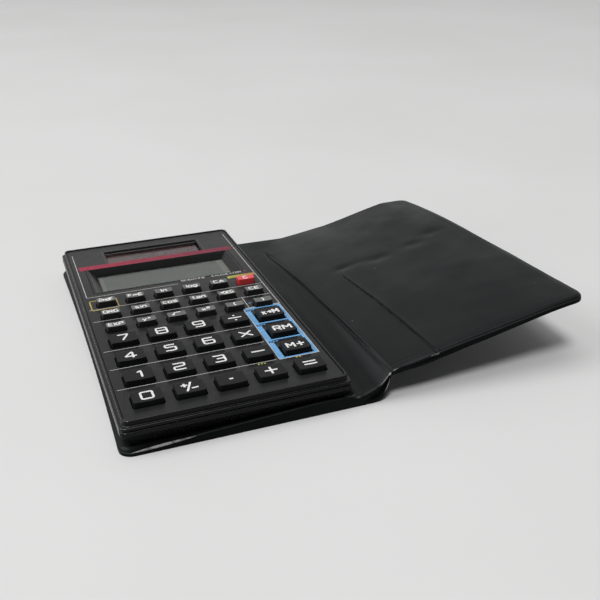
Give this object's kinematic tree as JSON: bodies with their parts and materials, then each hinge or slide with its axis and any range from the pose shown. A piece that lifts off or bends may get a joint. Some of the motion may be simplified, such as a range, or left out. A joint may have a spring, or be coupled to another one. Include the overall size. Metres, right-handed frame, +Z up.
{
  "type": "scientific calculator",
  "caption": "Flat pocket scientific calculator with a solar cell, recessed display and domed rubber-backed keys, lying on the back leaf of an open folding vinyl wallet.",
  "frame": {"origin": "on the table under the middle of the calculator's case, on the underside of the wallet's back leaf", "axes": "+X to the right, across the keys towards the open cover; +Y to the back, from the number keys to the display; +Z up out of the face"},
  "size_m": [0.1562, 0.1371, 0.0247],
  "materials": {
    "case_plastic": "fine satin moulded plastic",
    "face_print": "satin sheet with printed lines",
    "key_plastic": "satin moulded plastic",
    "red_key": "satin moulded plastic",
    "clear_window": "clear, glossy",
    "lcd_glass": "grey-green panel",
    "solar_cell": "brown amorphous cell",
    "contact_rubber": "moulded rubber",
    "lead_sleeve": "sleeve of a thin wire",
    "board_laminate": "green laminate",
    "chip_resin": "moulded resin",
    "capacitor_can": "sleeved can",
    "screw_steel": "plated",
    "wallet_vinyl": "soft calendered vinyl with a fine grain",
    "stiff_board": "grey board"
  },
  "bodies": {
    "calculator": {"upper_case": "case_plastic", "lower_case": "case_plastic", "face_plate": "face_print", "display_bezel": "case_plastic", "display_window": "clear_window", "lcd_glass": "lcd_glass", "zebra_connector": "contact_rubber", "solar_window": "clear_window", "solar_cell": "solar_cell", "solar_leads": "lead_sleeve", "circuit_board": "board_laminate", "processor_chip": "chip_resin", "supply_capacitors": "capacitor_can", "key_mat": "contact_rubber", "case_screws": "screw_steel", "wallet_back_leaf": "wallet_vinyl", "wallet_back_stiffener": "stiff_board", "wallet_back_lining": "wallet_vinyl"},
    "spine": {"wallet_spine": "wallet_vinyl"},
    "cover": {"wallet_cover_leaf": "wallet_vinyl", "wallet_cover_board": "stiff_board", "wallet_cover_pocket": "wallet_vinyl"},
    "key_second_function": {"key_second_function": "key_plastic"},
    "key_notation": {"key_notation": "key_plastic"},
    "key_ln": {"key_ln": "key_plastic"},
    "key_log": {"key_log": "key_plastic"},
    "key_clear_all": {"key_clear_all": "key_plastic"},
    "key_clear": {"key_clear": "red_key"},
    "key_angle_unit": {"key_angle_unit": "key_plastic"},
    "key_sin": {"key_sin": "key_plastic"},
    "key_cos": {"key_cos": "key_plastic"},
    "key_tan": {"key_tan": "key_plastic"},
    "key_sexagesimal": {"key_sexagesimal": "key_plastic"},
    "key_clear_entry": {"key_clear_entry": "key_plastic"},
    "key_exponent": {"key_exponent": "key_plastic"},
    "key_power": {"key_power": "key_plastic"},
    "key_root": {"key_root": "key_plastic"},
    "key_square": {"key_square": "key_plastic"},
    "key_open_bracket": {"key_open_bracket": "key_plastic"},
    "key_close_bracket": {"key_close_bracket": "key_plastic"},
    "key_7": {"key_7": "key_plastic"},
    "key_8": {"key_8": "key_plastic"},
    "key_9": {"key_9": "key_plastic"},
    "key_divide": {"key_divide": "key_plastic"},
    "key_store": {"key_store": "key_plastic"},
    "key_4": {"key_4": "key_plastic"},
    "key_5": {"key_5": "key_plastic"},
    "key_6": {"key_6": "key_plastic"},
    "key_multiply": {"key_multiply": "key_plastic"},
    "key_recall": {"key_recall": "key_plastic"},
    "key_1": {"key_1": "key_plastic"},
    "key_2": {"key_2": "key_plastic"},
    "key_3": {"key_3": "key_plastic"},
    "key_subtract": {"key_subtract": "key_plastic"},
    "key_memory_add": {"key_memory_add": "key_plastic"},
    "key_0": {"key_0": "key_plastic"},
    "key_sign": {"key_sign": "key_plastic"},
    "key_point": {"key_point": "key_plastic"},
    "key_add": {"key_add": "key_plastic"},
    "key_equals": {"key_equals": "key_plastic"}
  },
  "joints": [
    {"name": "spine_fold", "type": "hinge", "parent": "calculator", "child": "spine", "pos_m": [0.0364, 0.00025, 0.0009], "axis": [0, -1, 0], "range_deg": [0, 71.3]},
    {"name": "cover_fold", "type": "hinge", "parent": "spine", "child": "cover", "pos_m": [0.04925, 0.00025, 0.00525], "axis": [0.0121, -0.999, 0.0441], "range_deg": [0, 97.1]},
    {"name": "press_second_function", "type": "slide", "parent": "calculator", "child": "key_second_function", "axis": [0, 0, -1], "range_m": [0, 0.0008], "stiffness_N_per_m": 800, "deforming": ["key_mat"]},
    {"name": "press_notation", "type": "slide", "parent": "calculator", "child": "key_notation", "axis": [0, 0, -1], "range_m": [0, 0.0008], "stiffness_N_per_m": 800, "deforming": ["key_mat"]},
    {"name": "press_ln", "type": "slide", "parent": "calculator", "child": "key_ln", "axis": [0, 0, -1], "range_m": [0, 0.0008], "stiffness_N_per_m": 800, "deforming": ["key_mat"]},
    {"name": "press_log", "type": "slide", "parent": "calculator", "child": "key_log", "axis": [0, 0, -1], "range_m": [0, 0.0008], "stiffness_N_per_m": 800, "deforming": ["key_mat"]},
    {"name": "press_clear_all", "type": "slide", "parent": "calculator", "child": "key_clear_all", "axis": [0, 0, -1], "range_m": [0, 0.0008], "stiffness_N_per_m": 800, "deforming": ["key_mat"]},
    {"name": "press_clear", "type": "slide", "parent": "calculator", "child": "key_clear", "axis": [0, 0, -1], "range_m": [0, 0.0008], "stiffness_N_per_m": 800, "deforming": ["key_mat"]},
    {"name": "press_angle_unit", "type": "slide", "parent": "calculator", "child": "key_angle_unit", "axis": [0, 0, -1], "range_m": [0, 0.0008], "stiffness_N_per_m": 800, "deforming": ["key_mat"]},
    {"name": "press_sin", "type": "slide", "parent": "calculator", "child": "key_sin", "axis": [0, 0, -1], "range_m": [0, 0.0008], "stiffness_N_per_m": 800, "deforming": ["key_mat"]},
    {"name": "press_cos", "type": "slide", "parent": "calculator", "child": "key_cos", "axis": [0, 0, -1], "range_m": [0, 0.0008], "stiffness_N_per_m": 800, "deforming": ["key_mat"]},
    {"name": "press_tan", "type": "slide", "parent": "calculator", "child": "key_tan", "axis": [0, 0, -1], "range_m": [0, 0.0008], "stiffness_N_per_m": 800, "deforming": ["key_mat"]},
    {"name": "press_sexagesimal", "type": "slide", "parent": "calculator", "child": "key_sexagesimal", "axis": [0, 0, -1], "range_m": [0, 0.0008], "stiffness_N_per_m": 800, "deforming": ["key_mat"]},
    {"name": "press_clear_entry", "type": "slide", "parent": "calculator", "child": "key_clear_entry", "axis": [0, 0, -1], "range_m": [0, 0.0008], "stiffness_N_per_m": 800, "deforming": ["key_mat"]},
    {"name": "press_exponent", "type": "slide", "parent": "calculator", "child": "key_exponent", "axis": [0, 0, -1], "range_m": [0, 0.0008], "stiffness_N_per_m": 800, "deforming": ["key_mat"]},
    {"name": "press_power", "type": "slide", "parent": "calculator", "child": "key_power", "axis": [0, 0, -1], "range_m": [0, 0.0008], "stiffness_N_per_m": 800, "deforming": ["key_mat"]},
    {"name": "press_root", "type": "slide", "parent": "calculator", "child": "key_root", "axis": [0, 0, -1], "range_m": [0, 0.0008], "stiffness_N_per_m": 800, "deforming": ["key_mat"]},
    {"name": "press_square", "type": "slide", "parent": "calculator", "child": "key_square", "axis": [0, 0, -1], "range_m": [0, 0.0008], "stiffness_N_per_m": 800, "deforming": ["key_mat"]},
    {"name": "press_open_bracket", "type": "slide", "parent": "calculator", "child": "key_open_bracket", "axis": [0, 0, -1], "range_m": [0, 0.0008], "stiffness_N_per_m": 800, "deforming": ["key_mat"]},
    {"name": "press_close_bracket", "type": "slide", "parent": "calculator", "child": "key_close_bracket", "axis": [0, 0, -1], "range_m": [0, 0.0008], "stiffness_N_per_m": 800, "deforming": ["key_mat"]},
    {"name": "press_7", "type": "slide", "parent": "calculator", "child": "key_7", "axis": [0, 0, -1], "range_m": [0, 0.0008], "stiffness_N_per_m": 800, "deforming": ["key_mat"]},
    {"name": "press_8", "type": "slide", "parent": "calculator", "child": "key_8", "axis": [0, 0, -1], "range_m": [0, 0.0008], "stiffness_N_per_m": 800, "deforming": ["key_mat"]},
    {"name": "press_9", "type": "slide", "parent": "calculator", "child": "key_9", "axis": [0, 0, -1], "range_m": [0, 0.0008], "stiffness_N_per_m": 800, "deforming": ["key_mat"]},
    {"name": "press_divide", "type": "slide", "parent": "calculator", "child": "key_divide", "axis": [0, 0, -1], "range_m": [0, 0.0008], "stiffness_N_per_m": 800, "deforming": ["key_mat"]},
    {"name": "press_store", "type": "slide", "parent": "calculator", "child": "key_store", "axis": [0, 0, -1], "range_m": [0, 0.0008], "stiffness_N_per_m": 800, "deforming": ["key_mat"]},
    {"name": "press_4", "type": "slide", "parent": "calculator", "child": "key_4", "axis": [0, 0, -1], "range_m": [0, 0.0008], "stiffness_N_per_m": 800, "deforming": ["key_mat"]},
    {"name": "press_5", "type": "slide", "parent": "calculator", "child": "key_5", "axis": [0, 0, -1], "range_m": [0, 0.0008], "stiffness_N_per_m": 800, "deforming": ["key_mat"]},
    {"name": "press_6", "type": "slide", "parent": "calculator", "child": "key_6", "axis": [0, 0, -1], "range_m": [0, 0.0008], "stiffness_N_per_m": 800, "deforming": ["key_mat"]},
    {"name": "press_multiply", "type": "slide", "parent": "calculator", "child": "key_multiply", "axis": [0, 0, -1], "range_m": [0, 0.0008], "stiffness_N_per_m": 800, "deforming": ["key_mat"]},
    {"name": "press_recall", "type": "slide", "parent": "calculator", "child": "key_recall", "axis": [0, 0, -1], "range_m": [0, 0.0008], "stiffness_N_per_m": 800, "deforming": ["key_mat"]},
    {"name": "press_1", "type": "slide", "parent": "calculator", "child": "key_1", "axis": [0, 0, -1], "range_m": [0, 0.0008], "stiffness_N_per_m": 800, "deforming": ["key_mat"]},
    {"name": "press_2", "type": "slide", "parent": "calculator", "child": "key_2", "axis": [0, 0, -1], "range_m": [0, 0.0008], "stiffness_N_per_m": 800, "deforming": ["key_mat"]},
    {"name": "press_3", "type": "slide", "parent": "calculator", "child": "key_3", "axis": [0, 0, -1], "range_m": [0, 0.0008], "stiffness_N_per_m": 800, "deforming": ["key_mat"]},
    {"name": "press_subtract", "type": "slide", "parent": "calculator", "child": "key_subtract", "axis": [0, 0, -1], "range_m": [0, 0.0008], "stiffness_N_per_m": 800, "deforming": ["key_mat"]},
    {"name": "press_memory_add", "type": "slide", "parent": "calculator", "child": "key_memory_add", "axis": [0, 0, -1], "range_m": [0, 0.0008], "stiffness_N_per_m": 800, "deforming": ["key_mat"]},
    {"name": "press_0", "type": "slide", "parent": "calculator", "child": "key_0", "axis": [0, 0, -1], "range_m": [0, 0.0008], "stiffness_N_per_m": 800, "deforming": ["key_mat"]},
    {"name": "press_sign", "type": "slide", "parent": "calculator", "child": "key_sign", "axis": [0, 0, -1], "range_m": [0, 0.0008], "stiffness_N_per_m": 800, "deforming": ["key_mat"]},
    {"name": "press_point", "type": "slide", "parent": "calculator", "child": "key_point", "axis": [0, 0, -1], "range_m": [0, 0.0008], "stiffness_N_per_m": 800, "deforming": ["key_mat"]},
    {"name": "press_add", "type": "slide", "parent": "calculator", "child": "key_add", "axis": [0, 0, -1], "range_m": [0, 0.0008], "stiffness_N_per_m": 800, "deforming": ["key_mat"]},
    {"name": "press_equals", "type": "slide", "parent": "calculator", "child": "key_equals", "axis": [0, 0, -1], "range_m": [0, 0.0008], "stiffness_N_per_m": 800, "deforming": ["key_mat"]}
  ],
  "couplings": [
    {"joint": "cover_fold", "follows": "spine_fold", "ratio": 1.3617}
  ]
}
